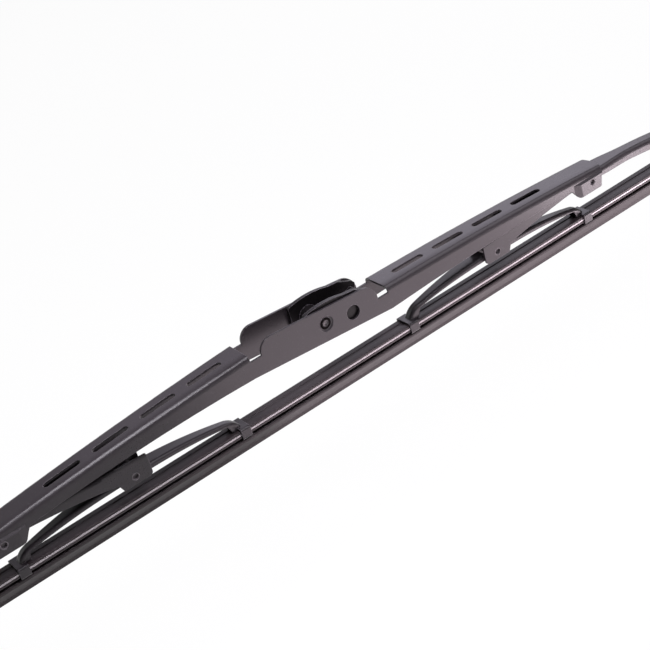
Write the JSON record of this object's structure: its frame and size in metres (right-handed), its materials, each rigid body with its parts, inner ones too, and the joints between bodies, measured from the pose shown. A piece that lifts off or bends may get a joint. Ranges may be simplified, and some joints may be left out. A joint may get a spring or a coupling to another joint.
{
  "type": "windscreen wiper blade",
  "caption": "Metal-frame wiper blade: slotted bridge with an arm clip, pivoting levers and yokes, and claws that hold a splined rubber strip.",
  "frame": {"origin": "middle of the wiper-arm pin, on the pin's axis, where the arm's hook turns", "axes": "+X along the blade towards the lower arm of the bridge, +Y along the pin, +Z away from the glass"},
  "size_m": [0.56, 0.016, 0.0452],
  "materials": {
    "frame_paint": "satin",
    "rivet_steel": "satin",
    "spline_steel": "brushed",
    "wiping_rubber": "matte",
    "clip_plastic": "gloss",
    "bush_plastic": "matte"
  },
  "bodies": {
    "bridge": {"bridge": "frame_paint", "arm_pin": "rivet_steel", "lever_rivet_left": "rivet_steel", "lever_rivet_right": "rivet_steel", "rubber_strip": "wiping_rubber", "spline_front": "spline_steel", "spline_back": "spline_steel"},
    "lever_left": {"lever_left": "frame_paint", "lever_bush_left": "bush_plastic", "yoke_rivet_left": "rivet_steel"},
    "lever_right": {"lever_right": "frame_paint", "lever_bush_right": "bush_plastic", "yoke_rivet_right": "rivet_steel"},
    "yoke_left": {"yoke_left": "frame_paint", "yoke_bush_left": "bush_plastic"},
    "yoke_right": {"yoke_right": "frame_paint", "yoke_bush_right": "bush_plastic"},
    "arm_clip": {"arm_clip": "clip_plastic"}
  },
  "joints": [
    {"name": "lever_left_pivot", "type": "hinge", "parent": "bridge", "child": "lever_left", "pos_m": [-0.1495, 0, -0.0091], "axis": [0, 1, 0], "range_deg": [-3.5, 3.5], "stiffness_Nm_per_rad": 3, "deforming": ["rubber_strip", "spline_front", "spline_back"]},
    {"name": "lever_right_pivot", "type": "hinge", "parent": "bridge", "child": "lever_right", "pos_m": [0.1445, 0, -0.0091], "axis": [0, 1, 0], "range_deg": [-3.5, 3.5], "stiffness_Nm_per_rad": 3, "deforming": ["rubber_strip", "spline_front", "spline_back"]},
    {"name": "yoke_left_pivot", "type": "hinge", "parent": "lever_left", "child": "yoke_left", "pos_m": [-0.0943, 0, -0.0154], "axis": [0, 1, 0], "range_deg": [-6, 6], "stiffness_Nm_per_rad": 2, "deforming": ["rubber_strip", "spline_front", "spline_back"]},
    {"name": "yoke_right_pivot", "type": "hinge", "parent": "lever_right", "child": "yoke_right", "pos_m": [0.0893, 0, -0.0154], "axis": [0, 1, 0], "range_deg": [-6, 6], "stiffness_Nm_per_rad": 2, "deforming": ["rubber_strip", "spline_front", "spline_back"]},
    {"name": "clip_pivot", "type": "hinge", "parent": "bridge", "child": "arm_clip", "pos_m": [0, 0, 0], "axis": [0, 1, 0], "range_deg": [-15, 5]}
  ]
}
